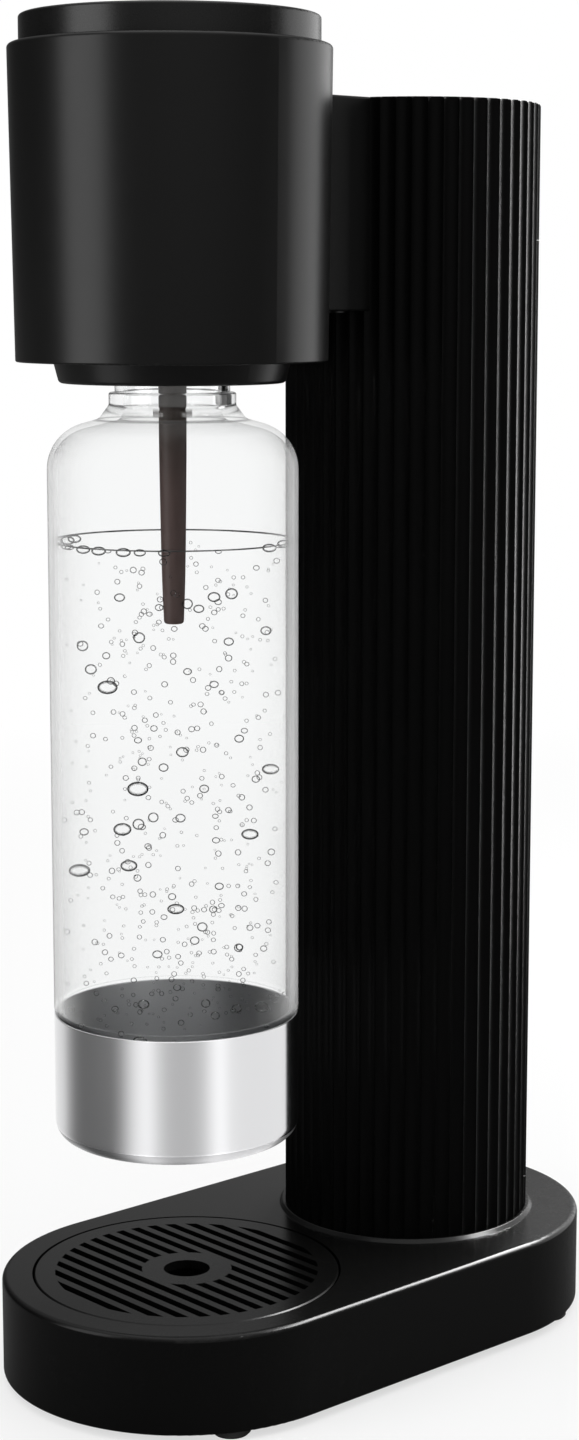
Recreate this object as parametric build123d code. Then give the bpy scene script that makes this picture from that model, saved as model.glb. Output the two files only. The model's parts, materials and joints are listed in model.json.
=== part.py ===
from build123d import *
import math
import os

# Home soda carbonator: a flat base with a drip tray, a fluted column that holds the gas
# cylinder, and a head that carries the bottle, the carbonating nozzle and the press button.
# +Z is up, the feet stand on Z = 0, the bottle is towards -Y and the column towards +Y.

# ---- Driving dimensions, millimetres ----------------------------------------------------

# Base
feet_height = 2.8
foot_radius = 6.5
foot_taper = 0.8
foot_angle = 25.0
foot_inset = 1.1
foot_plug_radius = 3.2
foot_plug_height = 0.8
base_height = 33.6
base_radius = 63.6
base_wall = 3.0
base_edge_radius = 1.8
base_underside_radius = 0.8
base_plate_thickness = 2.4
base_post_radius = 4.0
lip_height = 1.3
lip_width = 2.2

# Drip tray and grille
tray_border = 10.3
tray_gap = 8.1
recess_depth = 20.0
recess_wall = 2.2
tray_wall = 2.0
grille_thickness = 3.0
grille_rim_depth = 3.0
grille_border = 7.2
grille_edge = 0.4
slot_pitch = 6.03
slot_width = 3.2
hub_radius = 15.5
hub_hole_radius = 8.0

# Column
column_height = 398.4
column_radius = 44.6
column_wall = 3.1
column_edge_radius = 1.2
flute_count = 52
flute_depth = 1.3
column_post_radius = 3.6
column_post_height = 22.0
column_post_angles = (-60.0, -120.0, 12.0, 168.0)
cap_thickness = 3.0
cap_skirt_depth = 6.0
cap_skirt_wall = 1.8

# Rear cover and the cylinder bay behind it
cover_flutes = 16
cover_seat_step = 1.7
cover_bottom_height = 12.0
cover_top_drop = 46.4
bay_half_angle = 50.5
bay_ledge = 3.0
cover_rib_width = 1.6

# Gas cylinder and its valve
cylinder_radius = 30.0
cylinder_wall = 2.2
cylinder_heel_radius = 8.0
cylinder_neck_radius = 14.8
cylinder_neck_height = 9.0
cylinder_depth = 16.0
cylinder_valve_height = 31.0
valve_flange_height = 6.0
valve_collar_radius = 12.0
valve_thread_radius = 10.35
valve_thread_length = 17.3
valve_spigot_radius = 8.0
valve_spigot_length = 12.0
valve_edge_radius = 0.6
valve_pocket_radius = 3.0
valve_pocket_depth = 3.0
cylinder_pin_radius = 1.2
cylinder_pin_length = 13.0
cylinder_pin_recess = 1.0
cradle_wall = 2.0
cradle_play = 2.3

# Valve block, bracket and lever
valve_block_radius = 19.0
valve_block_height = 28.0
block_edge = 1.5
block_screw_angles = (60.0, 120.0, 240.0, 300.0)
gas_seal_thickness = 2.0
gas_seal_hole_radius = 4.0
push_rod_radius = 2.0
gas_port_height = 23.0
gas_port_radius = 1.5
port_boss_radius = 4.6
port_boss_reach = 27.0
relief_thread_length = 6.0
relief_head_length = 5.0
relief_head_radius = 4.2
relief_cap_length = 6.0
bracket_thickness = 3.0
bracket_pad_angles = (0.0, 180.0, -40.0, -140.0)
bracket_pad_width = 9.0
bracket_pad_depth = 7.0
bracket_pad_height = 8.0
lever_axis_offset = 27.0
lever_axis_rise = 9.0
lever_drop = 26.4
lever_width = 12.0
lever_thickness = 4.0
lever_boss_radius = 5.0
lever_pad_radius = 7.0
lever_pin_radius = 2.5
lever_pin_overhang = 1.0
ear_thickness = 3.0
gas_tube_radius = 3.0
gas_tube_bore_radius = 1.7

# Arm between the column and the head
arm_width = 38.4
arm_lift = 16.2
arm_wall = 2.6
arm_top_wall = 3.0
arm_edge_radius = 0.9
arm_entry = 8.6
arm_rail = 2.0
arm_post_radius = 4.0
arm_post_height = 14.0

# Head
head_forward = 3.8
head_rise = 13.9
head_height = 100.9
head_radius = 52.5
head_taper = 1.35
head_edge_radius = 1.4
head_underside_radius = 0.6
head_wall = 3.2
head_step = 1.7
head_notch_depth = 2.0
head_floor = 4.0
head_post_radius = 4.0
head_post_angles = (-90.0, 20.0, 160.0)
guide_plate_rise = 6.0
guide_plate_thickness = 3.0
guide_tube_radius = 9.0
guide_tube_up = 7.0
guide_tube_down = 3.0

# Press button
button_gap = 0.6
button_proud = 9.1
button_edge_radius = 1.0
button_wall = 2.6
button_top_wall = 3.0
button_skirt = 19.6
button_travel = 8.0
button_post_radius = 7.0
button_tip_radius = 4.0
spring_radius = 11.5
spring_wire_radius = 0.9
spring_turns = 5.0

# Collar, bottle socket and nozzle
collar_height = 6.9
collar_radius = 38.9
collar_taper = 1.8
collar_edge_radius = 1.5
collar_wall = 2.5
collar_seat = 1.0
socket_wall = 6.0
socket_roof = 5.7
socket_flange_width = 8.1
socket_screw_angles = (45.0, 135.0, 225.0, 315.0)
socket_flange_thickness = 3.0
bottle_seal_thickness = 2.0
bottle_seal_overhang = 1.0
nozzle_root_radius = 4.65
nozzle_tip_radius = 3.4
nozzle_bore_radius = 1.8
nozzle_orifice_radius = 0.6
nozzle_orifice_length = 3.0
nozzle_length = 86.4
nozzle_flange_width = 2.85
nozzle_flange_thickness = 2.0
fitting_radius = 7.0
fitting_height = 18.0
fitting_edge = 1.0
fitting_port_height = 11.0
fitting_port_reach = 11.0

# Bottle and its metal cup
bottle_radius = 41.4
bottle_height = 269.1
bottle_entry = 8.6
bottle_wall = 1.2
bottle_heel_corner = 7.0
bottle_shoulder_drop = 32.0
bottle_shoulder_radius = 15.5
bottle_root_drop = 27.2
bottle_root_flare = 3.4
bottle_root_radius = 3.0
bottle_bead_drop = 18.5
bottle_bead_height = 4.2
bottle_bead_width = 2.0
bottle_bead_edge = 0.7
bottle_neck_radius = 18.6
bottle_neck_wall = 2.6
cup_height = 43.1
cup_wall = 0.9
cup_corner_radius = 6.0

# Screws
screw_radius = 1.5
screw_head_radius = 2.7
screw_head_height = 1.9
screw_socket_radius = 1.3
base_screw_length = 8.0
column_screw_length = 14.0
arm_screw_length = 9.0
small_screw_length = 7.0

# Fits and clearances
press_clearance = 0.02
running_clearance = 0.05
slide_clearance = 0.3
lift_clearance = 0.7
hole_clearance = 0.3
neck_clearance = 0.4
seam_gap = 0.3
post_bite = 0.4

# ---- Radii, axes and levels worked out from the driving dimensions --------------------------

recess_radius = base_radius - tray_border
tray_radius = recess_radius - lift_clearance
slot_field_radius = tray_radius - grille_border
slot_count = int(2 * slot_field_radius / slot_pitch)
column_bore_radius = column_radius - flute_depth - column_wall
cover_seat_radius = column_bore_radius + cover_seat_step
bracket_radius = column_bore_radius - 2 * slide_clearance
bay_radius = cylinder_radius + cradle_play
head_bottom_radius = head_radius - head_taper
head_bore_radius = head_radius - head_wall
head_inner_radius = head_bore_radius - head_step
button_radius = head_bore_radius - button_gap
collar_bottom_radius = collar_radius - collar_taper
socket_bore_radius = bottle_neck_radius + neck_clearance
socket_radius = socket_bore_radius + socket_wall
socket_flange_radius = socket_radius + socket_flange_width
collar_bore_radius = socket_bore_radius + neck_clearance
nozzle_flange_radius = nozzle_root_radius + nozzle_flange_width
bottle_heel_radius = bottle_radius - cup_wall - slide_clearance
foot_ring_radius = base_radius - foot_inset - foot_radius
flute_pitch = 360.0 / flute_count
cover_half_angle = cover_flutes * flute_pitch / 2

axis_spacing = recess_radius + tray_gap + column_radius
tray_y = -axis_spacing / 2
column_y = axis_spacing / 2
head_y = tray_y - head_forward
lever_y = column_y + lever_axis_offset
arm_back_y = column_y - column_radius + arm_entry

base_top = feet_height + base_height
plate_top = feet_height + base_plate_thickness
tray_floor = base_top - recess_depth
tray_top = base_top - grille_thickness
column_top = base_top + column_height
cover_bottom = base_top + cover_bottom_height
cover_top = column_top - cover_top_drop

lever_z = column_top - lever_drop
lever_under = lever_z - lever_thickness / 2
lever_over = lever_z + lever_thickness / 2
bracket_top = lever_z - lever_axis_rise
block_top = bracket_top - bracket_thickness
block_bottom = block_top - valve_block_height
port_z = block_bottom + gas_port_height
valve_shoulder = block_bottom - slide_clearance
valve_top = valve_shoulder + valve_thread_length
seal_top = valve_top + gas_seal_thickness
pin_top = valve_top - cylinder_pin_recess
cylinder_top = valve_top - cylinder_valve_height
cylinder_bottom = base_top - cylinder_depth

head_top = column_top + head_rise
head_bottom = head_top - head_height
head_floor_top = head_bottom + head_floor
arm_bottom = head_bottom + arm_lift
button_top = head_top + button_proud
guide_plate = lever_over + guide_plate_rise
guide_plate_top = guide_plate + guide_plate_thickness
collar_bottom = head_bottom - collar_height
nozzle_tip = head_bottom - nozzle_length

bottle_mouth = head_bottom + bottle_entry
bottle_bottom = bottle_mouth - bottle_height
bottle_root = bottle_mouth - bottle_root_drop
seal_bottom = bottle_mouth + slide_clearance
socket_roof_bottom = seal_bottom + bottle_seal_thickness
socket_top = socket_roof_bottom + socket_roof
flange_top = head_floor_top + socket_flange_thickness
fitting_bottom = socket_top + nozzle_flange_thickness
fitting_port_z = fitting_bottom + fitting_port_height
cup_bottom = bottle_bottom - cup_wall
cup_rim = cup_bottom + cup_height

# ---- Shapes that several parts share -------------------------------------------------------


def polar(radius, angle, x=0.0, y=0.0):
    """A point at a radius and an angle in degrees from +X about (x, y)."""
    turn = math.radians(angle)
    return (x + radius * math.cos(turn), y + radius * math.sin(turn))


def rod(radius, bottom, top, x=0.0, y=0.0):
    """An upright round bar between two levels."""
    upright = (Align.CENTER, Align.CENTER, Align.MIN)
    return Pos(x, y, bottom) * Cylinder(radius, top - bottom, align=upright)


def ring(outer, inner, bottom, top, x=0.0, y=0.0):
    """An upright tube between two levels."""
    return rod(outer, bottom, top, x, y) - rod(inner, bottom, top, x, y)


def cross_rod(radius, start, end, y, z):
    """A round bar along X."""
    middle = (start + end) / 2
    return Pos(middle, y, z) * Rot(0, 90, 0) * Cylinder(radius, end - start)


def long_rod(radius, start, end, x, z):
    """A round bar along Y."""
    middle = (start + end) / 2
    return Pos(x, middle, z) * Rot(90, 0, 0) * Cylinder(radius, end - start)


def block(x_range, y_range, z_range):
    """A box between limits along X, Y and Z."""
    lows, highs = zip(x_range, y_range, z_range)
    sides = [high - low for low, high in zip(lows, highs)]
    corner = (Align.MIN, Align.MIN, Align.MIN)
    return Pos(*lows) * Box(*sides, align=corner)


def turned(corners, x=0.0, y=0.0):
    """A turned solid from its (radius, level, corner radius) corners."""
    points = [(radius, level) for radius, level, _ in corners]
    rounding = [corner for _, _, corner in corners]
    outline = FilletPolyline(*points, radius=rounding, close=True)
    return Pos(x, y, 0) * revolve(Plane.XZ * make_face(outline), Axis.Z)


def stadium(radius, bottom, top):
    """A straight-sided slab with round ends about the tray and column axes."""
    outline = Rot(0, 0, 90) * SlotCenterToCenter(axis_spacing, 2 * radius)
    return Pos(0, 0, bottom) * extrude(outline, top - bottom)


def wedge(half_angle, inset, bottom, top):
    """A slab that opens from the column axis towards +Y, its sides drawn in by inset."""
    reach = 3 * column_radius
    apex = (0, column_y + inset / math.sin(math.radians(half_angle)))
    left = polar(reach, 90 + half_angle, *apex)
    right = polar(reach, 90 - half_angle, *apex)
    outline = make_face(Polyline(apex, right, left, close=True))
    return Pos(0, 0, bottom) * extrude(outline, top - bottom)


def screw(length):
    """A cap screw whose head stands on Z = 0 and whose shank runs down."""
    body = rod(screw_head_radius, 0, screw_head_height) + rod(screw_radius, -length, 0)
    socket = Pos(0, 0, screw_head_height / 3) * extrude(
        RegularPolygon(screw_socket_radius, 6), screw_head_height)
    return body - socket


def screws_down(length, level, places):
    """Screws driven down at the given places."""
    return Compound([Pos(x, y, level) * screw(length) for x, y in places])


def screws_up(length, level, places):
    """Screws driven up at the given places."""
    turned_over = Rot(180, 0, 0) * screw(length)
    return Compound([Pos(x, y, level) * turned_over for x, y in places])


def holes(radius, bottom, top, places):
    """Upright holes at the given places."""
    return [rod(radius, bottom, top, x, y) for x, y in places]


def fluted_outline():
    """The column's outline: concave flutes that meet in sharp arrises."""
    arcs = []
    for flute in range(flute_count):
        middle = flute * flute_pitch
        arcs.append(ThreePointArc(
            polar(column_radius, middle - flute_pitch / 2),
            polar(column_radius - flute_depth, middle),
            polar(column_radius, middle + flute_pitch / 2)))
    return make_face(arcs)


def fluted_body():
    """The whole fluted column as a solid bar with a softened top edge."""
    prism = Pos(0, column_y, base_top) * extrude(fluted_outline(), column_height)
    skin = column_radius + 0.1 * column_edge_radius
    envelope = rod(skin, base_top, column_top, 0, column_y)
    envelope = fillet(envelope.edges().group_by(Axis.Z)[-1], column_edge_radius)
    return prism & envelope


def arm_block(clearance):
    """The arm's outer block, grown on its sides and underneath by a clearance."""
    half = arm_width / 2 + clearance
    return block((-half, half), (head_y, arm_back_y + clearance),
                 (arm_bottom - clearance, column_top + clearance))


# ---- Where the fasteners and feet go ---------------------------------------------------------

rear_feet = [
    polar(foot_ring_radius, angle, 0, column_y) for angle in (foot_angle, 180 - foot_angle)]
front_feet = [(x, -y) for x, y in rear_feet]
foot_places = rear_feet + front_feet
post_reach = base_radius - base_wall - base_post_radius - hole_clearance
front_posts = [(sign * recess_radius / 2, tray_y - recess_radius / 2) for sign in (-1, 1)]
middle_posts = [(sign * post_reach, 0.0) for sign in (-1, 1)]
rear_posts = [polar(post_reach, angle, 0, column_y) for angle in (45.0, 135.0)]
base_posts = front_posts + middle_posts + rear_posts
column_post_ring_radius = column_bore_radius - column_post_radius + post_bite
column_posts = [
    polar(column_post_ring_radius, angle, 0, column_y) for angle in column_post_angles]
bracket_screw_ring_radius = column_bore_radius - bracket_pad_depth / 2
bracket_screw_places = [
    polar(bracket_screw_ring_radius, angle, 0, column_y) for angle in bracket_pad_angles]
block_screw_ring_radius = (valve_thread_radius + valve_block_radius) / 2
block_screw_places = [
    polar(block_screw_ring_radius, angle, 0, column_y) for angle in block_screw_angles]
head_post_ring_radius = head_inner_radius - head_post_radius + post_bite
head_posts = [polar(head_post_ring_radius, angle, 0, head_y) for angle in head_post_angles]
socket_screw_ring_radius = (socket_flange_radius + socket_radius) / 2
socket_screw_places = [
    polar(socket_screw_ring_radius, angle, 0, head_y) for angle in socket_screw_angles]
arm_post_x = arm_width / 2 - arm_wall - screw_head_radius - 2 * hole_clearance
arm_middle_y = (head_y + head_bore_radius + arm_back_y) / 2
arm_posts = [(sign * arm_post_x, arm_middle_y) for sign in (-1, 1)]

# ---- Base ------------------------------------------------------------------------------------


def column_lip():
    """Raised ring on the base that hugs the foot of the column."""
    inner = column_radius + press_clearance
    root = base_top - base_wall / 2
    crest = base_top + lip_height
    profile = [
        (inner, root, 0),
        (inner + 2 * lip_width, root, 0),
        (inner + lip_width, base_top, lip_height / 2),
        (inner + lip_width / 2, crest, lip_height / 3),
        (inner, crest, 0)]
    return turned(profile, 0, column_y)


def make_base_shell():
    """Moulded base with a recess for the drip tray and a lip round the column's foot."""
    shell = stadium(base_radius, feet_height, base_top)
    shell = fillet(shell.edges().group_by(Axis.Z)[-1], base_edge_radius)
    shell = fillet(shell.edges().group_by(Axis.Z)[0], base_underside_radius)
    shell -= stadium(base_radius - base_wall, feet_height, base_top - base_wall)
    recess_under = tray_floor - recess_wall
    shell += rod(recess_radius + recess_wall, recess_under, base_top - base_wall, 0, tray_y)
    shell -= rod(recess_radius, tray_floor, base_top, 0, tray_y)
    for x, y in front_posts:
        shell += rod(base_post_radius, plate_top, recess_under, x, y)
    for x, y in middle_posts + rear_posts:
        shell += rod(base_post_radius, plate_top, base_top - base_wall, x, y)
    shell += column_lip()
    shell -= rod(bay_radius, base_top - base_wall, base_top, 0, column_y)
    shell -= holes(screw_radius + press_clearance, plate_top, plate_top + base_screw_length,
                   base_posts)
    shell -= holes(screw_radius + hole_clearance, base_top - base_wall, base_top, column_posts)
    return shell


def make_base_plate():
    """Bottom plate with shallow sockets for the feet and holes for its screws."""
    plate = stadium(base_radius - base_wall - slide_clearance, feet_height, plate_top)
    plug_hole = foot_plug_radius + slide_clearance / 2
    plate -= holes(plug_hole, feet_height, feet_height + foot_plug_height, foot_places)
    return plate - holes(screw_radius + hole_clearance, feet_height, plate_top, base_posts)


def make_feet():
    """Four round rubber feet, each with a plug in the base plate and a tapered lower edge."""
    foot = rod(foot_radius, 0, feet_height)
    foot = chamfer(foot.edges().group_by(Axis.Z)[0], foot_taper)
    foot += rod(foot_plug_radius, feet_height, feet_height + foot_plug_height)
    return Compound([Pos(x, y, 0) * foot for x, y in foot_places])


def make_cylinder_cradle():
    """Cup on the base plate that centres the foot of the gas cylinder."""
    cup = rod(bay_radius + cradle_wall, plate_top, base_top - base_wall, 0, column_y)
    return cup - rod(bay_radius, plate_top + cradle_wall, base_top - base_wall, 0, column_y)


# ---- Drip tray -------------------------------------------------------------------------------


def make_drip_tray():
    """Round cup that catches drips under the grille."""
    inner = tray_radius - tray_wall
    inner_floor = tray_floor + tray_wall
    profile = [
        (0, tray_floor, 0),
        (tray_radius, tray_floor, tray_wall),
        (tray_radius, tray_top, 0),
        (inner, tray_top, 0),
        (inner, inner_floor, tray_wall),
        (0, inner_floor, 0)]
    return turned(profile, 0, tray_y)


def make_drip_grille():
    """Slotted disc with a central finger hole and a rim that drops inside the tray."""
    disc = rod(tray_radius, tray_top, base_top, 0, tray_y)
    disc = chamfer(disc.edges().group_by(Axis.Z)[-1], grille_edge)
    rim = tray_radius - tray_wall - slide_clearance
    disc += ring(rim, rim - tray_wall, tray_top - grille_rim_depth, tray_top, 0, tray_y)
    field = rod(slot_field_radius, tray_top, base_top, 0, tray_y)
    hub = rod(hub_radius, tray_top, base_top, 0, tray_y)
    bars = []
    for slot in range(slot_count):
        y = tray_y + (slot - (slot_count - 1) / 2) * slot_pitch
        bars.append(block((-slot_field_radius, slot_field_radius),
                          (y - slot_width / 2, y + slot_width / 2),
                          (tray_top, base_top)))
    disc -= (Compound(bars) & field) - hub
    return disc - rod(hub_hole_radius, tray_top, base_top, 0, tray_y)


# ---- Column ----------------------------------------------------------------------------------


def make_column_shell():
    """Fluted tube with a bay for the cylinder behind and a notch for the arm in front."""
    shell = fluted_body() - rod(column_bore_radius, base_top, column_top, 0, column_y)
    shell -= rod(cover_seat_radius, column_top - cap_thickness, column_top, 0, column_y)
    rebate = wedge(cover_half_angle, 0, cover_bottom, cover_top)
    shell -= rebate - rod(cover_seat_radius, cover_bottom, cover_top, 0, column_y)
    shell -= wedge(bay_half_angle, 0, cover_bottom + bay_ledge, cover_top - bay_ledge)
    bore = rod(column_bore_radius + slide_clearance, base_top, column_top, 0, column_y)
    for x, y in column_posts:
        shell += rod(column_post_radius, base_top, base_top + column_post_height, x, y) & bore
    pad = block((column_bore_radius - bracket_pad_depth, column_bore_radius + bracket_pad_depth),
                (-bracket_pad_width / 2, bracket_pad_width / 2),
                (-bracket_pad_height, 0))
    for angle in bracket_pad_angles:
        shell += (Pos(0, column_y, block_top) * Rot(0, 0, angle) * pad) & bore
    shell -= arm_block(press_clearance)
    grip = screw_radius + press_clearance
    shell -= holes(grip, base_top, base_top + column_screw_length, column_posts)
    shell -= holes(grip, block_top - small_screw_length, block_top, bracket_screw_places)
    return shell


def make_column_cap():
    """Flat lid let into the top of the column, with a locating skirt."""
    radius = cover_seat_radius - running_clearance
    cap = rod(radius, column_top - cap_thickness, column_top, 0, column_y)
    skirt = column_bore_radius - slide_clearance
    skirt_top = column_top - cap_thickness
    cap += ring(skirt, skirt - cap_skirt_wall, skirt_top - cap_skirt_depth, skirt_top, 0, column_y)
    return cap - arm_block(press_clearance)


def make_rear_cover():
    """Removable fluted panel over the cylinder bay, with ribs that drop inside the bay."""
    bottom = cover_bottom + seam_gap
    top = cover_top - seam_gap
    inner = cover_seat_radius + seam_gap
    panel = (fluted_body() - rod(inner, base_top, column_top, 0, column_y)) & wedge(
        cover_half_angle, seam_gap, bottom, top)
    rib_inset = seam_gap + cover_rib_width
    rib_low = bottom + bay_ledge
    rib_high = top - bay_ledge
    ribs = ring(inner + seam_gap, column_bore_radius, rib_low, rib_high, 0, column_y)
    ribs = ribs & wedge(bay_half_angle, seam_gap, rib_low, rib_high)
    ribs -= wedge(bay_half_angle, rib_inset, rib_low + cover_rib_width, rib_high - cover_rib_width)
    return panel + ribs


# ---- Gas cylinder ----------------------------------------------------------------------------


def cylinder_form(radius, bottom, corner, neck_radius, shoulder, top):
    """A bottle-shaped solid: flat foot, domed shoulder and straight neck."""
    profile = [
        (0, bottom, 0),
        (radius, bottom, corner),
        (radius, shoulder, 0.8 * radius),
        (neck_radius, shoulder + radius / 4, neck_radius / 5),
        (neck_radius, top, 0),
        (0, top, 0)]
    return turned(profile, 0, column_y)


def make_co2_cylinder():
    """Hollow gas cylinder with a plain neck for its valve."""
    shoulder = cylinder_top - cylinder_neck_height - cylinder_radius / 4
    outer = cylinder_form(cylinder_radius, cylinder_bottom, cylinder_heel_radius,
                          cylinder_neck_radius, shoulder, cylinder_top)
    inner = cylinder_form(cylinder_radius - cylinder_wall, cylinder_bottom + 2 * cylinder_wall,
                          cylinder_heel_radius - cylinder_wall,
                          valve_spigot_radius + press_clearance,
                          shoulder - cylinder_wall, cylinder_top)
    return outer - inner


def make_cylinder_valve():
    """Brass valve: spigot in the cylinder neck, flange, collar and threaded stem."""
    spigot_bottom = cylinder_top - valve_spigot_length
    collar_foot = cylinder_top + valve_flange_height
    valve = rod(valve_thread_radius, valve_shoulder, valve_top, 0, column_y)
    valve = fillet(valve.edges().group_by(Axis.Z)[-1], valve_edge_radius)
    valve += rod(valve_spigot_radius, spigot_bottom, cylinder_top, 0, column_y)
    valve += rod(cylinder_neck_radius, cylinder_top, collar_foot, 0, column_y)
    valve += rod(valve_collar_radius, collar_foot, valve_shoulder, 0, column_y)
    valve -= rod(valve_pocket_radius, valve_top - valve_pocket_depth, valve_top, 0, column_y)
    bore = cylinder_pin_radius + running_clearance
    return valve - rod(bore, spigot_bottom, valve_top, 0, column_y)


def make_cylinder_pin():
    """Pin that opens the cylinder's valve when it is pushed down."""
    return rod(cylinder_pin_radius, pin_top - cylinder_pin_length, pin_top, 0, column_y)


# ---- Valve block, lever and gas line ---------------------------------------------------------


def make_valve_block():
    """Block that takes the cylinder's threaded stem and leads the gas forwards."""
    body = rod(valve_block_radius, block_bottom, block_top, 0, column_y)
    body = chamfer(body.edges().group_by(Axis.Z)[0], block_edge)
    front = column_y - port_boss_reach
    tube_end = front + 2 * gas_tube_radius
    tube_fit = gas_tube_radius + press_clearance
    body += long_rod(port_boss_radius, front, column_y - valve_block_radius / 2, 0, port_z)
    body -= rod(valve_thread_radius + running_clearance, block_bottom, seal_top, 0, column_y)
    body -= rod(push_rod_radius + running_clearance, seal_top, block_top, 0, column_y)
    body -= long_rod(gas_port_radius, front, column_y, 0, port_z)
    body -= long_rod(tube_fit, front, tube_end, 0, port_z)
    body -= cross_rod(gas_port_radius, 0, valve_block_radius, column_y, port_z)
    thread_start = valve_block_radius - relief_thread_length
    body -= cross_rod(tube_fit, thread_start, valve_block_radius, column_y, port_z)
    screw_end = bracket_top - small_screw_length
    return body - holes(screw_radius + press_clearance, screw_end, block_top, block_screw_places)


def make_gas_seal():
    """Washer between the cylinder's valve and the roof of the block's bore."""
    outer = valve_thread_radius - slide_clearance
    bottom = valve_top + running_clearance
    return ring(outer, gas_seal_hole_radius, bottom, seal_top, 0, column_y)


def make_relief_valve():
    """Pressure relief valve screwed into the side of the valve block."""
    side = valve_block_radius
    thread = cross_rod(gas_tube_radius, side - relief_thread_length, side, column_y, port_z)
    outline = RegularPolygon(relief_head_radius, 6)
    head = Pos(side, column_y, port_z) * Rot(0, 90, 0) * extrude(outline, relief_head_length)
    cap_start = side + relief_head_length
    cap_end = cap_start + relief_cap_length
    return thread + head + cross_rod(gas_tube_radius, cap_start, cap_end, column_y, port_z)


def make_valve_bracket():
    """Plate across the column that carries the valve block and the lever's pivot."""
    plate = rod(bracket_radius, block_top, bracket_top, 0, column_y)
    plate -= block((-column_radius, column_radius),
                   (column_y - column_radius, arm_back_y + slide_clearance),
                   (block_top, bracket_top))
    ear_sides = (lever_y - lever_boss_radius, lever_y + lever_boss_radius)
    for sign in (-1, 1):
        inside = sign * (lever_width / 2 + slide_clearance)
        x_range = sorted((inside, inside + sign * ear_thickness))
        plate += block(x_range, ear_sides, (bracket_top, lever_z))
        plate += cross_rod(lever_boss_radius, *x_range, lever_y, lever_z)
    reach = lever_width
    plate -= cross_rod(lever_pin_radius + press_clearance, -reach, reach, lever_y, lever_z)
    plate -= rod(push_rod_radius + hole_clearance, block_top, bracket_top, 0, column_y)
    return plate - holes(screw_radius + hole_clearance, block_top, bracket_top,
                         bracket_screw_places + block_screw_places)


def make_lever():
    """Long lever that the button presses at the head and that presses the rod at the column."""
    half = lever_width / 2
    bar = block((-half, half), (head_y, lever_y), (lever_under, lever_over))
    bar = fillet(bar.edges().filter_by(Axis.Y), lever_thickness / 4)
    bar += rod(lever_pad_radius, lever_under, lever_over, 0, head_y)
    bar += cross_rod(lever_boss_radius, -half, half, lever_y, lever_z)
    return bar - cross_rod(lever_pin_radius + running_clearance, -half, half, lever_y, lever_z)


def make_lever_pin():
    """Pivot pin through the bracket's ears."""
    reach = lever_width / 2 + slide_clearance + ear_thickness + lever_pin_overhang
    return cross_rod(lever_pin_radius, -reach, reach, lever_y, lever_z)


def make_push_rod():
    """Rod between the lever and the cylinder's pin."""
    bottom = pin_top + slide_clearance
    return rod(push_rod_radius, bottom, lever_under - slide_clearance, 0, column_y)


def make_gas_tube():
    """Tube from the valve block to the fitting over the nozzle."""
    start = column_y - port_boss_reach + 2 * gas_tube_radius
    end = head_y + fitting_port_reach - 2 * gas_tube_radius
    run = (start - end) / 3
    points = [
        (0, start, port_z),
        (0, start - run, port_z),
        (0, end + run, fitting_port_z),
        (0, end, fitting_port_z)]
    path = FilletPolyline(*points, radius=2 * run)
    mouth = Plane(origin=path @ 0, z_dir=path % 0)
    return sweep(mouth * (Circle(gas_tube_radius) - Circle(gas_tube_bore_radius)), path)


# ---- Arm -------------------------------------------------------------------------------------


def make_arm_housing():
    """Arm that joins the column to the head, open underneath for its cover."""
    arm = arm_block(0)
    arm = fillet(arm.edges().filter_by(Axis.Y), arm_edge_radius)
    inner = arm_width / 2 - arm_wall
    ends = (head_y, column_y)
    arm -= block((-inner, inner), ends, (arm_bottom, column_top - arm_top_wall))
    rail_low = arm_bottom + arm_wall
    for sign in (-1, 1):
        x_range = sorted((sign * (inner - arm_rail), sign * (inner + arm_wall / 2)))
        arm += block(x_range, (head_y, arm_back_y), (rail_low, rail_low + arm_rail))
    for x, y in arm_posts:
        arm += rod(arm_post_radius, rail_low, rail_low + arm_post_height, x, y)
    arm -= holes(screw_radius + press_clearance, rail_low, rail_low + arm_screw_length, arm_posts)
    return arm - rod(head_bore_radius, arm_bottom, column_top, 0, head_y)


def make_arm_cover():
    """Plate that closes the underside of the arm."""
    half = arm_width / 2 - arm_wall - press_clearance
    cover = block((-half, half), (head_y, arm_back_y), (arm_bottom, arm_bottom + arm_wall))
    cover -= rod(head_bore_radius, arm_bottom, column_top, 0, head_y)
    seat = arm_bottom + arm_wall / 2
    cover -= holes(screw_head_radius + hole_clearance, arm_bottom, seat, arm_posts)
    return cover - holes(screw_radius + hole_clearance, seat, arm_bottom + arm_wall, arm_posts)


# ---- Head ------------------------------------------------------------------------------------


def make_head_housing():
    """Round head housing, open at the top for the button and notched behind for the arm."""
    button_bore_bottom = head_top - button_skirt - button_travel
    profile = [
        (0, head_bottom, 0),
        (head_bottom_radius, head_bottom, head_underside_radius),
        (head_radius, head_top, head_edge_radius),
        (head_bore_radius, head_top, 0),
        (head_bore_radius, button_bore_bottom, 0),
        (head_inner_radius, button_bore_bottom, 0),
        (head_inner_radius, head_floor_top, head_edge_radius),
        (0, head_floor_top, 0)]
    head = turned(profile, 0, head_y)
    cavity = rod(head_inner_radius + slide_clearance, head_floor_top, guide_plate, 0, head_y)
    for x, y in head_posts:
        head += rod(head_post_radius, head_floor_top, guide_plate, x, y) & cavity
    head -= rod(socket_radius + slide_clearance, head_bottom, head_floor_top, 0, head_y)
    notch_end = head_inner_radius - head_notch_depth
    head -= arm_block(press_clearance) - rod(notch_end, head_bottom, head_top, 0, head_y)
    grip = screw_radius + press_clearance
    head -= holes(grip, guide_plate - small_screw_length, guide_plate, head_posts)
    return head - holes(grip, head_bottom, head_floor_top, socket_screw_places)


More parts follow.
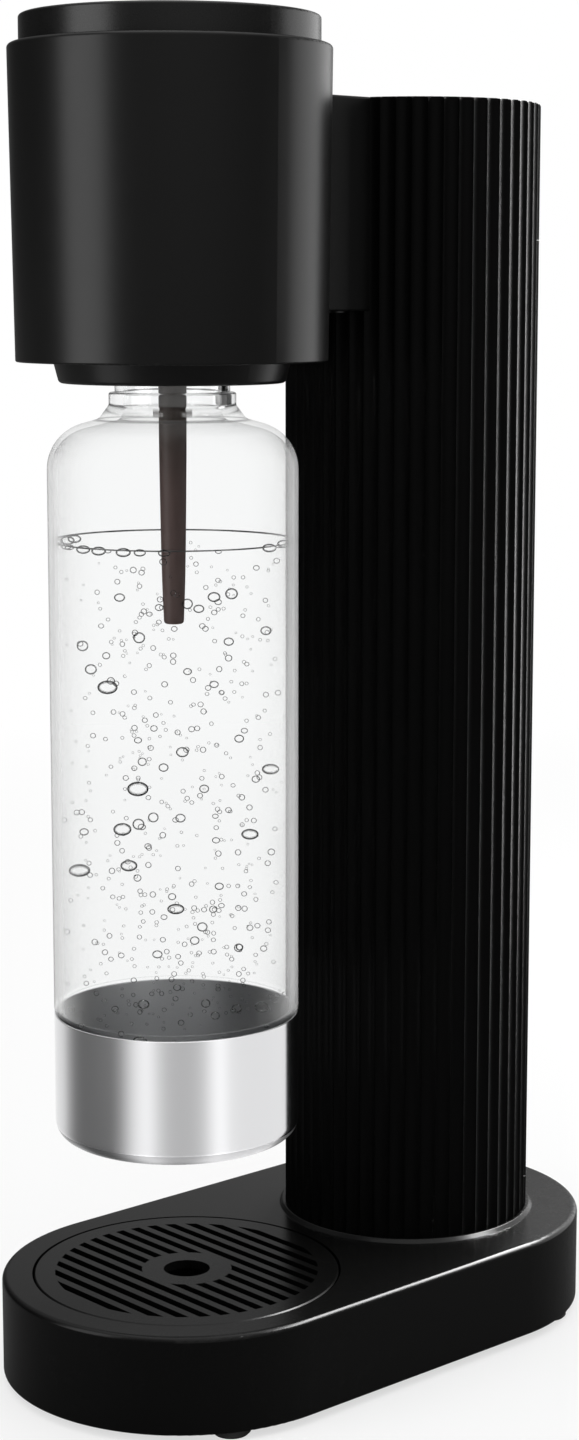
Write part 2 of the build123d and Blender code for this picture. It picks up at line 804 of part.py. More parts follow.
def make_guide_plate():
    """Plate inside the head whose tube guides the button's post."""
    tube_bottom = guide_plate - guide_tube_down
    tube_top = guide_plate_top + guide_tube_up
    bore = button_post_radius + running_clearance
    plate = rod(head_inner_radius - slide_clearance, guide_plate, guide_plate_top, 0, head_y)
    plate += rod(guide_tube_radius, tube_bottom, tube_top, 0, head_y)
    plate -= rod(bore, tube_bottom, tube_top, 0, head_y)
    return plate - holes(screw_radius + hole_clearance, guide_plate, guide_plate_top, head_posts)


def make_carbonate_button():
    """Round cap that fills the top of the head, with a skirt and a central post."""
    under = button_top - button_top_wall
    skirt_bottom = head_top - button_skirt + button_travel
    inner = button_radius - button_wall
    profile = [
        (0, button_top, 0),
        (button_radius, button_top, button_edge_radius),
        (button_radius, skirt_bottom, 0),
        (inner, skirt_bottom, 0),
        (inner, under, 0),
        (0, under, 0)]
    post = rod(button_post_radius, lever_over + slide_clearance, under, 0, head_y)
    post = fillet(post.edges().group_by(Axis.Z)[0], button_tip_radius)
    return turned(profile, 0, head_y) + post


def make_button_spring():
    """Coil spring round the post, between the guide plate and the button."""
    low = guide_plate_top + spring_wire_radius + running_clearance
    high = button_top - button_top_wall - spring_wire_radius - running_clearance
    coil = Pos(0, head_y, low) * Helix((high - low) / spring_turns, high - low, spring_radius)
    start = Plane(origin=coil @ 0, z_dir=coil % 0)
    return sweep(start * Circle(spring_wire_radius), coil, is_frenet=True)


def make_collar():
    """Dark ring under the head that the bottle's neck passes through."""
    profile = [
        (collar_bore_radius, collar_bottom, collar_edge_radius / 2),
        (collar_bottom_radius, collar_bottom, collar_edge_radius),
        (collar_radius, head_bottom, 0),
        (collar_bore_radius, head_bottom, 0)]
    groove = ring(collar_bottom_radius - collar_wall, collar_bore_radius + collar_wall,
                  collar_bottom + collar_wall, head_bottom, 0, head_y)
    seat_bottom = head_bottom - collar_seat
    seat = ring(socket_radius, collar_bore_radius, seat_bottom, head_bottom, 0, head_y)
    return turned(profile, 0, head_y) - (groove - seat)


def make_bottle_socket():
    """Socket that holds the bottle's neck against its seal."""
    socket = rod(socket_radius, head_bottom, socket_top, 0, head_y)
    socket += rod(socket_flange_radius, head_floor_top, flange_top, 0, head_y)
    socket -= rod(socket_bore_radius, head_bottom, socket_roof_bottom, 0, head_y)
    socket -= rod(nozzle_root_radius + press_clearance, socket_roof_bottom, socket_top, 0, head_y)
    hole = screw_radius + hole_clearance
    return socket - holes(hole, head_floor_top, flange_top, socket_screw_places)


def make_bottle_seal():
    """Soft ring that the mouth of the bottle presses against."""
    inner = bottle_neck_radius - bottle_neck_wall - bottle_seal_overhang
    return ring(bottle_neck_radius, inner, seal_bottom, socket_roof_bottom, 0, head_y)


def make_nozzle():
    """Tapered carbonating tube with a flange on the socket and a small orifice at its tip."""
    profile = [
        (0, nozzle_tip, 0),
        (nozzle_tip_radius, nozzle_tip, 0.7 * nozzle_tip_radius),
        (nozzle_root_radius, collar_bottom, 0),
        (nozzle_root_radius, socket_top, 0),
        (nozzle_flange_radius, socket_top, 0),
        (nozzle_flange_radius, fitting_bottom, 0),
        (0, fitting_bottom, 0)]
    orifice_top = nozzle_tip + nozzle_orifice_length
    tube = turned(profile, 0, head_y)
    tube -= rod(nozzle_bore_radius, orifice_top, fitting_bottom, 0, head_y)
    return tube - rod(nozzle_orifice_radius, nozzle_tip, orifice_top, 0, head_y)


def make_nozzle_fitting():
    """Elbow over the nozzle that takes the end of the gas tube."""
    body = rod(fitting_radius, fitting_bottom, fitting_bottom + fitting_height, 0, head_y)
    body = chamfer(body.edges().group_by(Axis.Z)[-1], fitting_edge)
    mouth = head_y + fitting_port_reach
    tube_end = mouth - 2 * gas_tube_radius
    body += long_rod(port_boss_radius, head_y, mouth, 0, fitting_port_z)
    body -= rod(nozzle_bore_radius, fitting_bottom, fitting_port_z, 0, head_y)
    body -= long_rod(gas_port_radius, head_y, mouth, 0, fitting_port_z)
    return body - long_rod(gas_tube_radius + press_clearance, tube_end, mouth, 0, fitting_port_z)


# ---- Bottle ----------------------------------------------------------------------------------


def bottle_outside():
    """The bottle's outside as a turned solid, with a stepped heel and a beaded neck."""
    heel_top = cup_rim + slide_clearance
    shoulder = bottle_mouth - bottle_shoulder_drop
    bead_top = bottle_mouth - bottle_bead_drop
    bead_bottom = bead_top - bottle_bead_height
    bead = bottle_neck_radius + bottle_bead_width
    profile = [
        (0, bottle_bottom, 0),
        (bottle_heel_radius, bottle_bottom, bottle_heel_corner),
        (bottle_heel_radius, heel_top, 0),
        (bottle_radius, heel_top, 0),
        (bottle_radius, shoulder, bottle_shoulder_radius),
        (bead + bottle_root_flare, bottle_root, bottle_root_radius),
        (bead, bead_bottom, bottle_root_radius / 2),
        (bead, bead_top, bottle_bead_edge),
        (bottle_neck_radius, bead_top, bottle_bead_edge / 2),
        (bottle_neck_radius, bottle_mouth, 0),
        (0, bottle_mouth, 0)]
    return turned(profile, 0, head_y)


def bottle_inside():
    """The hollow of the bottle as a turned solid, open at the mouth."""
    floor = bottle_bottom + bottle_wall
    heel = bottle_heel_radius - bottle_wall
    heel_top = cup_rim + slide_clearance + bottle_wall
    wall = bottle_radius - bottle_wall
    shoulder = bottle_mouth - bottle_shoulder_drop - bottle_wall
    neck = bottle_neck_radius - bottle_neck_wall
    profile = [
        (0, floor, 0),
        (heel, floor, bottle_heel_corner - bottle_wall),
        (heel, heel_top, 0),
        (wall, heel_top, 0),
        (wall, shoulder, bottle_shoulder_radius - bottle_wall),
        (neck, bottle_root, bottle_root_radius),
        (neck, bottle_mouth, 0),
        (0, bottle_mouth, 0)]
    return turned(profile, 0, head_y)


def bottle_shell(low, high):
    """The bottle's wall between two levels."""
    return (bottle_outside() - bottle_inside()) & rod(bottle_radius, low, high, 0, head_y)


def make_bottle_body():
    """Clear bottle up to the root of its neck, with a round shoulder and a stepped heel."""
    return bottle_shell(bottle_bottom, bottle_root)


def make_bottle_neck():
    """Clear neck of the bottle with its bead, moulded in one with the body."""
    return bottle_shell(bottle_root, bottle_mouth)


def make_bottle_cup():
    """Metal cup over the heel of the bottle."""
    inner = bottle_radius - cup_wall
    profile = [
        (0, cup_bottom, 0),
        (bottle_radius, cup_bottom, cup_corner_radius),
        (bottle_radius, cup_rim, cup_wall / 3),
        (inner, cup_rim, cup_wall / 3),
        (inner, bottle_bottom, cup_corner_radius - cup_wall),
        (0, bottle_bottom, 0)]
    return turned(profile, 0, head_y)


# ---- Every part by name ----------------------------------------------------------------------

parts = {
    "base_shell": make_base_shell(),
    "base_plate": make_base_plate(),
    "feet": make_feet(),
    "cylinder_cradle": make_cylinder_cradle(),
    "drip_tray": make_drip_tray(),
    "drip_grille": make_drip_grille(),
    "column_shell": make_column_shell(),
    "column_cap": make_column_cap(),
    "rear_cover": make_rear_cover(),
    "co2_cylinder": make_co2_cylinder(),
    "cylinder_valve": make_cylinder_valve(),
    "cylinder_pin": make_cylinder_pin(),
    "valve_block": make_valve_block(),
    "gas_seal": make_gas_seal(),
    "relief_valve": make_relief_valve(),
    "valve_bracket": make_valve_bracket(),
    "lever": make_lever(),
    "lever_pin": make_lever_pin(),
    "push_rod": make_push_rod(),
    "gas_tube": make_gas_tube(),
    "arm_housing": make_arm_housing(),
    "arm_cover": make_arm_cover(),
    "head_housing": make_head_housing(),
    "guide_plate": make_guide_plate(),
    "carbonate_button": make_carbonate_button(),
    "button_spring": make_button_spring(),
    "collar": make_collar(),
    "bottle_socket": make_bottle_socket(),
    "bottle_seal": make_bottle_seal(),
    "nozzle": make_nozzle(),
    "nozzle_fitting": make_nozzle_fitting(),
    "bottle_body": make_bottle_body(),
    "bottle_neck": make_bottle_neck(),
    "bottle_cup": make_bottle_cup(),
    "base_screws": screws_up(base_screw_length, feet_height, base_posts),
    "column_screws": screws_up(column_screw_length, base_top - base_wall, column_posts),
    "bracket_screws": screws_down(small_screw_length, bracket_top,
                                  bracket_screw_places + block_screw_places),
    "head_screws": screws_down(small_screw_length, guide_plate_top, head_posts),
    "socket_screws": screws_down(small_screw_length, flange_top, socket_screw_places),
    "arm_screws": screws_up(arm_screw_length, arm_bottom + arm_wall / 2, arm_posts),
}

os.makedirs("parts", exist_ok=True)
for name, shape in parts.items():
    export_step(shape, f"parts/{name}.step")
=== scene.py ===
"""Finishes, bottle, water and studio for a home soda carbonator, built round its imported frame."""

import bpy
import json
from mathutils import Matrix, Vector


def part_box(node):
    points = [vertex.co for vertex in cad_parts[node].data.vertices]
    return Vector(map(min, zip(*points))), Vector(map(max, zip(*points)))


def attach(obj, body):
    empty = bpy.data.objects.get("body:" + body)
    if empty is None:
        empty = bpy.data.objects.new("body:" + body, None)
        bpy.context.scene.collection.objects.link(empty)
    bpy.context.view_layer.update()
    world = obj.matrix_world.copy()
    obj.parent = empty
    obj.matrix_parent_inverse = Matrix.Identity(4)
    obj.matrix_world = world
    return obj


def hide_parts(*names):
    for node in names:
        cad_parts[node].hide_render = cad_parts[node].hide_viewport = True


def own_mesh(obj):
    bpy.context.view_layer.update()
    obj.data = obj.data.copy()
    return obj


bl_info = {
    "name": "Soda Carbonator Finish",
    "version": (1, 0, 0),
    "blender": (4, 5, 0),
    "location": "View3D > Sidebar > Carbonator",
    "description": "Surface finishes, clear bottle, sparkling water and studio for a soda carbonator",
    "category": "Object",
}

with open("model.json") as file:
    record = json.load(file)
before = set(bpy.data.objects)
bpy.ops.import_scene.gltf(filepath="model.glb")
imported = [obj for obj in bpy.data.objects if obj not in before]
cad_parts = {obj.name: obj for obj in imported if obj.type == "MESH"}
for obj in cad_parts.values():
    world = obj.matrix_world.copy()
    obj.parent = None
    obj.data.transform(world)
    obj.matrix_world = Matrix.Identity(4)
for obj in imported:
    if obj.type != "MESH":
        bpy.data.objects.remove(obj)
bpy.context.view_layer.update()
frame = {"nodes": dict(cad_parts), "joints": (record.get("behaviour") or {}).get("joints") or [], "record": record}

import json
import math
import random

import bpy
from mathutils import Vector

# ---- Places read from the frame, in metres ---------------------------------------------------
BOTTLE_LOW, BOTTLE_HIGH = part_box("bottle_body")
BOTTLE_AXIS = (BOTTLE_LOW + BOTTLE_HIGH) / 2
NECK_LOW, NECK_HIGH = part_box("bottle_neck")
CUP_LOW, CUP_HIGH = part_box("bottle_cup")
NOZZLE_LOW, NOZZLE_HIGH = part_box("nozzle")
SPRING_LOW, SPRING_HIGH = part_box("button_spring")
BUTTON_TRAVEL = next(
    joint["range_m"][1] for joint in frame["joints"] if joint["name"] == "button_press")
COLLAR_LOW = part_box("collar")[0]
BASE_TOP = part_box("drip_grille")[1].z
HEAD_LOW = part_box("head_housing")[0]
MM = 0.001
BOTTLE_RADIUS = (BOTTLE_HIGH.x - BOTTLE_LOW.x) / 2
CUP_RADIUS = (CUP_HIGH.x - CUP_LOW.x) / 2


# ---- Shader expressions ----------------------------------------------------------------------


class Value:
    """A number in a shader that can be used in Python expressions."""

    def __init__(self, tree, socket):
        self.tree = tree
        self.socket = socket

    def math(self, operation, *others, clamp=False, flip=False):
        """One Math node on this value and the others."""
        node = self.tree.nodes.new("ShaderNodeMath")
        node.operation = operation
        node.use_clamp = clamp
        terms = [self, *others]
        if flip:
            terms.reverse()
        for socket, term in zip(node.inputs, terms):
            if isinstance(term, Value):
                self.tree.links.new(term.socket, socket)
            else:
                socket.default_value = term
        return Value(self.tree, node.outputs[0])

    def __add__(self, other):
        return self.math("ADD", other)

    def __radd__(self, other):
        return self.math("ADD", other)

    def __sub__(self, other):
        return self.math("SUBTRACT", other)

    def __rsub__(self, other):
        return self.math("SUBTRACT", other, flip=True)

    def __mul__(self, other):
        return self.math("MULTIPLY", other)

    def __rmul__(self, other):
        return self.math("MULTIPLY", other)

    def __truediv__(self, other):
        return self.math("DIVIDE", other)

    def __rtruediv__(self, other):
        return self.math("DIVIDE", other, flip=True)

    def __pow__(self, other):
        return self.math("POWER", other)

    def above(self, limit):
        """1 where the value is over a limit, else 0."""
        return self.math("GREATER_THAN", limit)

    def below(self, limit):
        """1 where the value is under a limit, else 0."""
        return self.math("LESS_THAN", limit)

    def clamped(self):
        """The value held between 0 and 1."""
        return self.math("ADD", 0.0, clamp=True)

    def sine(self):
        """The sine of the value."""
        return self.math("SINE")

    def bearing(self, other):
        """The angle of the point (self, other) about the origin, in radians."""
        return other.math("ARCTAN2", self)


class Finish:
    """A material, or a world, under construction."""

    def __init__(self, name, world=False):
        kind = bpy.data.worlds if world else bpy.data.materials
        self.material = kind.new(name)
        self.material.use_nodes = True
        self.tree = self.material.node_tree
        self.tree.nodes.clear()
        self.out = self.node("ShaderNodeOutputWorld" if world else "ShaderNodeOutputMaterial")

    def node(self, kind, settings=None, inputs=None):
        """A node of a kind, its settings made first and its inputs then set or linked."""
        node = self.tree.nodes.new(kind)
        for key, setting in (settings or {}).items():
            if key == "stops":
                self.set_stops(node, setting)
            else:
                setattr(node, key, setting)
        for key, given in (inputs or {}).items():
            self.feed(node.inputs[key], given)
        return node

    def feed(self, socket, given):
        """Sets a socket to a constant or links a value or socket to it."""
        if isinstance(given, Value):
            self.tree.links.new(given.socket, socket)
        elif isinstance(given, bpy.types.NodeSocket):
            self.tree.links.new(given, socket)
        else:
            socket.default_value = given

    @staticmethod
    def set_stops(node, stops):
        """Gives a colour ramp its stops."""
        ramp = node.color_ramp.elements
        while len(ramp) < len(stops):
            ramp.new(0.5)
        for element, (position, colour) in zip(ramp, stops):
            element.position = position
            element.color = (*colour, 1.0)

    def value(self, kind, output=0, settings=None, inputs=None):
        """An output of a new node, ready for expressions."""
        return Value(self.tree, self.node(kind, settings, inputs).outputs[output])

    def place(self, scale=(1, 1, 1), centre=(0, 0, 0)):
        """Object coordinates about a centre, stretched by a scale."""
        coordinates = self.node("ShaderNodeTexCoord").outputs["Object"]
        shift = [-c * s for c, s in zip(centre, scale)]
        mapping = self.node("ShaderNodeMapping", None,
                            {"Vector": coordinates, "Location": shift, "Scale": scale})
        return mapping.outputs["Vector"]

    def axis_parts(self, centre=(0, 0, 0)):
        """Object X, Y and Z about a centre as three values."""
        split = self.node("ShaderNodeSeparateXYZ", None, {"Vector": self.place((1, 1, 1), centre)})
        return [Value(self.tree, socket) for socket in split.outputs]

    def along(self, vector, direction):
        """How far a vector points along a direction, never under 0."""
        dot = self.value("ShaderNodeVectorMath", "Value", {"operation": "DOT_PRODUCT"},
                         {0: vector, 1: tuple(direction)})
        return dot.clamped()

    def noise(self, scale, detail=3.0, roughness=0.55, stretch=(1, 1, 1), centre=(0, 0, 0)):
        """Noise on object coordinates, about 0 to 1."""
        return self.value("ShaderNodeTexNoise", "Fac", None, {
            "Vector": self.place(stretch, centre), "Scale": scale, "Detail": detail,
            "Roughness": roughness})

    def blend(self, factor, first, second):
        """Two colours mixed by a factor."""
        node = self.node("ShaderNodeMix", {"data_type": "RGBA"})
        self.feed(node.inputs[0], factor)
        self.feed(node.inputs[6], first if not isinstance(first, tuple) else (*first, 1.0))
        self.feed(node.inputs[7], second if not isinstance(second, tuple) else (*second, 1.0))
        return node.outputs[2]

    def bump(self, height, distance, strength=1.0):
        """A surface normal from a height."""
        return self.node("ShaderNodeBump", None, {
            "Height": height, "Distance": distance, "Strength": strength}).outputs["Normal"]

    def surface(self, shader):
        """Ends the material in a shader node."""
        self.tree.links.new(shader.outputs[0], self.out.inputs["Surface"])
        return self.material

    def principled(self, **inputs):
        """A Principled shader; underscores in the names stand for spaces."""
        named = {key.replace("_", " "): given for key, given in inputs.items()}
        return self.node("ShaderNodeBsdfPrincipled", None, named)


def opaque(colour):
    """A colour with full alpha."""
    return (*colour, 1.0)


# ---- Finishes --------------------------------------------------------------------------------


def satin_plastic(name, colour, roughness, grain=0.00022, depth=0.000012, gloss=0.5):
    """Moulded plastic with fine spark-eroded grain and faint flow variation."""
    finish = Finish(name)
    grain_noise = finish.noise(1 / grain, detail=2.0)
    flow = finish.noise(9.0, detail=2.0)
    rub = finish.noise(140.0, detail=4.0, roughness=0.7)
    lighter = tuple(1.45 * c for c in colour)
    base = finish.blend((flow * 0.6 + rub * 0.4 - 0.2).clamped(), colour, lighter)
    shine = roughness + (flow - 0.5) * 0.05 + (rub - 0.5) * 0.05 + (grain_noise - 0.5) * 0.05
    normal = finish.bump(grain_noise, depth, 0.55)
    return finish.surface(finish.principled(
        Base_Color=base, Roughness=shine, Normal=normal, Specular_IOR_Level=gloss))


def rubber(name, colour):
    """Matt rubber with a dusty bloom."""
    finish = Finish(name)
    bloom = finish.noise(260.0, detail=4.0, roughness=0.7)
    base = finish.blend(bloom, colour, tuple(2.2 * c for c in colour))
    normal = finish.bump(finish.noise(2500.0), 0.00002, 0.6)
    return finish.surface(finish.principled(
        Base_Color=base, Roughness=0.72 + bloom * 0.18, Normal=normal))


def drawn_metal(name, colour, roughness, stretch, centre=(0, 0, 0), metallic=1.0, streak=0.10):
    """Metal with fine brushed or turned streaks along one direction."""
    finish = Finish(name)
    streaks = finish.noise(1.0, detail=3.0, roughness=0.65, stretch=stretch, centre=centre)
    broad = finish.noise(30.0, detail=2.0)
    darker = tuple((1 - 2 * streak) * c for c in colour)
    base = finish.blend((streaks * 0.7 + broad * 0.3).clamped(), darker, colour)
    shine = roughness + (streaks - 0.5) * 0.16 + (broad - 0.5) * 0.05
    normal = finish.bump(streaks, 0.000006, 0.5)
    return finish.surface(finish.principled(
        Base_Color=base, Roughness=shine, Metallic=metallic, Normal=normal))


def cup_metal(name, colour, grain_pull=0.8, turn=0.25):
    """Satin steel cup with fine turned lines, rougher and darkened with painted shade where it holds the bottle.
    """
    finish = Finish(name)
    x, y, z = finish.axis_parts(tuple(BOTTLE_AXIS))
    radius = (x * x + y * y) ** 0.5
    inside = radius.below(CUP_RADIUS - 0.3 * MM)
    lines = finish.noise(1.0, detail=3.0, roughness=0.7, stretch=(14, 14, 5200))
    broad = finish.noise(22.0, detail=2.0)
    darker = tuple(0.95 * c for c in colour)
    # painted shade: inside the cup, where the bottle stands, the colour is darkened to 0.62
    painted_inner_shade = tuple(0.62 * c for c in colour)
    outer = finish.blend((lines * 0.75 + broad * 0.25).clamped(), darker, colour)
    base = finish.blend(inside, outer, painted_inner_shade)
    shine = 0.17 + (lines - 0.5) * 0.05 + inside * 0.25
    normal = finish.bump(lines, 0.0000015, 0.4)
    return finish.surface(finish.principled(
        Base_Color=base, Roughness=shine, Metallic=1.0, Normal=normal, Anisotropic=grain_pull,
        Anisotropic_Rotation=turn))


def nozzle_plastic(name, colour):
    """Smoked plastic with a soft gloss, darkened with painted shade towards the root inside the neck."""
    finish = Finish(name)
    _, _, z = finish.axis_parts((0, 0, NOZZLE_LOW.z))
    height = ((z / (HEAD_LOW.z - NOZZLE_LOW.z) - 0.5) * 3.0).clamped()
    flow = finish.noise(60.0, detail=3.0)
    # painted shade: towards the root the colour falls to about a third, a little green
    dark = tuple(share * c for share, c in zip((0.34, 0.42, 0.36), colour))
    base = finish.blend((height * 0.9 + flow * 0.1).clamped(), colour, dark)
    return finish.surface(finish.principled(
        Base_Color=base, Roughness=0.42 + flow * 0.08, Specular_IOR_Level=0.25,
        Normal=finish.bump(flow, 0.00001, 0.3)))


def clear_plastic(name, tint, edge, rim, power):
    """Clear moulded plastic: the thick neck bends light, the thin wall greys at its edges, and a painted shade
    ring circles the neck's root.
    """
    finish = Finish(name)
    _, _, z = finish.axis_parts((0, 0, NECK_LOW.z))
    neck = (z / (2 * MM) - 0.5).clamped()
    shoulder = (z / (8 * MM) + 1.6).clamped()
    wall = ((z + (NECK_LOW.z - CUP_HIGH.z - 0.8 * MM)) / (2 * MM)).clamped()
    flow = finish.noise(38.0, detail=2.0)
    facing = finish.value("ShaderNodeLayerWeight", "Facing", None, {"Blend": 0.5})
    thick = finish.principled(
        Base_Color=opaque(tint), Roughness=0.012 + flow * 0.012, IOR=1.46, Transmission_Weight=1.0,
        Normal=finish.bump(flow, 0.00003, 0.15))
    # painted shade: a thin dark ring just under the neck's root, for the light the shoulder bends away
    away = z + 0.2 * MM
    painted_neck_shade = (1.0 - (away * away) ** 0.5 / (0.45 * MM)).clamped()
    cover = facing ** power * rim * wall * (1.0 - shoulder * 0.75) + painted_neck_shade * 0.5
    shade = finish.blend(painted_neck_shade, edge, (0.02, 0.02, 0.02))
    thin = wall_mix(finish, cover, shade, 0.03 + flow * 0.03, (0.982, 0.984, 0.984))
    return finish.surface(finish.node("ShaderNodeMixShader", None, {
        0: neck, 1: thin.outputs[0], 2: thick.outputs[0]}))


def wall_mix(finish, cover, edge, shine, tint=(1, 1, 1)):
    """See-through where the cover is 0 and a solid colour where it is 1."""
    colour = opaque(edge) if isinstance(edge, tuple) else edge
    solid = finish.principled(Base_Color=colour, Roughness=shine)
    clear = finish.node("ShaderNodeBsdfTransparent", None, {"Color": opaque(tint)})
    return finish.node("ShaderNodeMixShader", None, {
        0: cover.clamped(), 1: clear.outputs[0], 2: solid.outputs[0]})


def still_water(name, edge, rim, power, level):
    """Clear water, with painted shade greying its edges and a broken painted dark ring where it climbs the wall.
    """
    finish = Finish(name)
    _, _, z = finish.axis_parts((0, 0, level))
    facing = finish.value("ShaderNodeLayerWeight", "Facing", None, {"Blend": 0.5})
    # painted shade: the edges grey with the facing, and the meniscus above the level is a broken dark ring
    below = z.below(-0.05 * MM)
    painted_meniscus_shade = z.above(0.10 * MM)
    broken = (finish.noise(55.0, detail=2.0) * 3.2 - 1.0).clamped()
    cover = below * facing ** power * rim + painted_meniscus_shade * (0.40 + 0.6 * broken)
    return finish.surface(wall_mix(finish, cover, edge, 0.05 + broken * 0.05))


def bubble_skin(name, dark, bright, start, slope):
    """A bubble's skin: clear in the middle, with a crisp rim that is part painted dark shade, part mirror."""
    finish = Finish(name)
    facing = finish.value("ShaderNodeLayerWeight", "Facing", None, {"Blend": 0.5})
    uneven = (finish.noise(1100.0, detail=1.0) * 6.0 - 3.1).clamped()
    # painted shade: the dark share of the rim is a near-black skin for the light the bubble's edge bends away
    solid = finish.principled(
        Base_Color=finish.blend(uneven, dark, bright), Roughness=0.04 + uneven * 0.04, Metallic=1.0)
    clear = finish.node("ShaderNodeBsdfTransparent", None, {"Color": (1, 1, 1, 1)})
    cover = ((facing - start) * slope).clamped() * 0.95
    return finish.surface(finish.node("ShaderNodeMixShader", None, {
        0: cover, 1: clear.outputs[0], 2: solid.outputs[0]}))


FINISHES = {}
# share of the plastic's colour that the deeper blacks keep
DEEP_SHARE = 0.45
# nodes of satin black plastic given a darker colour and less gloss
DEEPER_BLACKS = {
    "column_shell": "column_black", "rear_cover": "column_black", "column_cap": "column_black",
    "base_shell": "base_black", "drip_tray": "base_black", "drip_grille": "base_black",
}


def make_finishes(look):
    """Every finish of the machine, by the record's material slot."""
    black, sheen = tuple(look.plastic_colour), look.plastic_roughness
    deep = tuple(DEEP_SHARE * c for c in black)
    FINISHES.update({
        "satin_black": satin_plastic("satin black plastic", black, sheen, gloss=0.30),
        "column_black": satin_plastic("fluted satin black", deep, sheen + 0.11, gloss=0.09),
        "base_black": satin_plastic("base satin black", deep, sheen - 0.05, gloss=0.18),
        "black_button": satin_plastic("button plastic", black, sheen - 0.03, gloss=0.38),
        "inner_black": satin_plastic("inner black plastic", (0.02, 0.02, 0.021), 0.5),
        "inner_grey": satin_plastic(
            "glass-filled grey plastic", (0.09, 0.09, 0.095), 0.55, grain=0.0005),
        "black_rubber": rubber("black rubber", (0.012, 0.012, 0.012)),
        "seal_rubber": rubber("seal silicone", (0.05, 0.05, 0.05)),
        "steel": drawn_metal("pressed steel", (0.55, 0.55, 0.56), 0.34, (60, 1800, 1800)),
        "screw_steel": drawn_metal("blackened steel", (0.16, 0.16, 0.16), 0.42, (900, 900, 900)),
        "cup_steel": cup_metal("satin cup steel", tuple(look.cup_colour)),
        "cylinder_metal": drawn_metal(
            "lacquered cylinder", (0.60, 0.61, 0.62), 0.30, (40, 40, 700)),
        "brass": drawn_metal("turned brass", (0.60, 0.42, 0.16), 0.28, (60, 60, 3000)),
        "clear_bottle": clear_plastic(
            "clear bottle", (0.985, 0.99, 0.99), (0.93, 0.93, 0.93), 1.2, 3.4),
        "nozzle_brown": nozzle_plastic("smoked nozzle", tuple(look.nozzle_colour)),
        "tube_white": satin_plastic("white tube", (0.55, 0.55, 0.52), 0.35, grain=0.001),
        "water": still_water(
            "still water", (0.06, 0.06, 0.06), 0.10, 4.0, BASE_TOP + look.water_level),
        "bubbles": bubble_skin("bubble skin", (0.01, 0.01, 0.01), (0.95, 0.95, 0.95), 0.28, 3.0),
    })


# ---- Modelling helpers -----------------------------------------------------------------------


def deselect_all():
    """Leaves nothing selected, in object mode."""
    if bpy.context.object and bpy.context.object.mode != "OBJECT":
        bpy.ops.object.mode_set(mode="OBJECT")
    bpy.ops.object.select_all(action="DESELECT")


def start_piece(name):
    """Names the primitive just added and opens it in edit mode."""
    piece = bpy.context.object
    piece.name = name
    piece.data.name = name
    bpy.ops.object.mode_set(mode="EDIT")
    return piece


def close_piece(piece, angle=40.0):
    """Leaves edit mode with clean outward normals, and settles the object at the origin."""
    bpy.ops.mesh.select_all(action="SELECT")
    bpy.ops.mesh.remove_doubles(threshold=0.000005)
    bpy.ops.mesh.normals_make_consistent(inside=False)
    bpy.ops.object.mode_set(mode="OBJECT")
    bpy.ops.object.transform_apply(location=True, rotation=True, scale=True)
    bpy.ops.object.shade_smooth_by_angle(angle=math.radians(angle))
    return piece


def finish_piece(piece, body, slot, *replaced):
    """Gives a piece its finish, slot, body and the nodes that it stands for."""
    piece.data.materials.clear()
    piece.data.materials.append(FINISHES[slot])
    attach(piece, body)
    if replaced:
        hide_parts(*replaced)
    return piece


def lathe(name, rings, axis, segments, ring=False):
    """A closed turned piece: one circle drawn out through (radius, height) rings.

    With ring, the last ring comes back to the first and meets it, as in a tube.
    """
    deselect_all()
    radius, height = rings[0]
    bpy.ops.mesh.primitive_circle_add(
        vertices=segments, radius=max(radius, 0.01 * MM), location=(axis.x, axis.y, height))
    piece = start_piece(name)
    bpy.ops.mesh.select_all(action="SELECT")
    last = max(radius, 0.01 * MM)
    rings = rings + rings[:1] if ring else rings
    for ring_radius, ring_height in rings[1:]:
        ring_radius = max(ring_radius, 0.01 * MM)
        bpy.ops.mesh.extrude_region_move(
            TRANSFORM_OT_translate={"value": (0, 0, ring_height - height)})
        grow = ring_radius / last
        bpy.ops.transform.resize(
            value=(grow, grow, 1), center_override=(axis.x, axis.y, ring_height))
        last, height = ring_radius, ring_height
    bpy.ops.mesh.select_all(action="SELECT")
    bpy.ops.mesh.remove_doubles(threshold=0.02 * MM)
    return close_piece(piece)


def rounded(corners, steps=8):
    """Rings through (radius, height, corner radius) points, with each corner rounded."""
    rings = []
    points = [Vector((radius, height)) for radius, height, _ in corners]
    for index, (here, corner) in enumerate(zip(points, corners)):
        if corner[2] <= 0 or index in (0, len(points) - 1):
            rings.append(tuple(here))
            continue
        back = (points[index - 1] - here).normalized()
        ahead = (points[index + 1] - here).normalized()
        half = back.angle(ahead) / 2
        reach = corner[2] / math.tan(half)
        centre = here + (back + ahead).normalized() * (corner[2] / math.sin(half))
        first = here + back * reach - centre
        last = here + ahead * reach - centre
        turn = first.angle_signed(last)
        for step in range(steps + 1):
            spin = -turn * step / steps
            cosine, sine = math.cos(spin), math.sin(spin)
            rings.append((centre.x + first.x * cosine - first.y * sine,
                          centre.y + first.x * sine + first.y * cosine))
    return rings


# ---- Settings --------------------------------------------------------------------------------


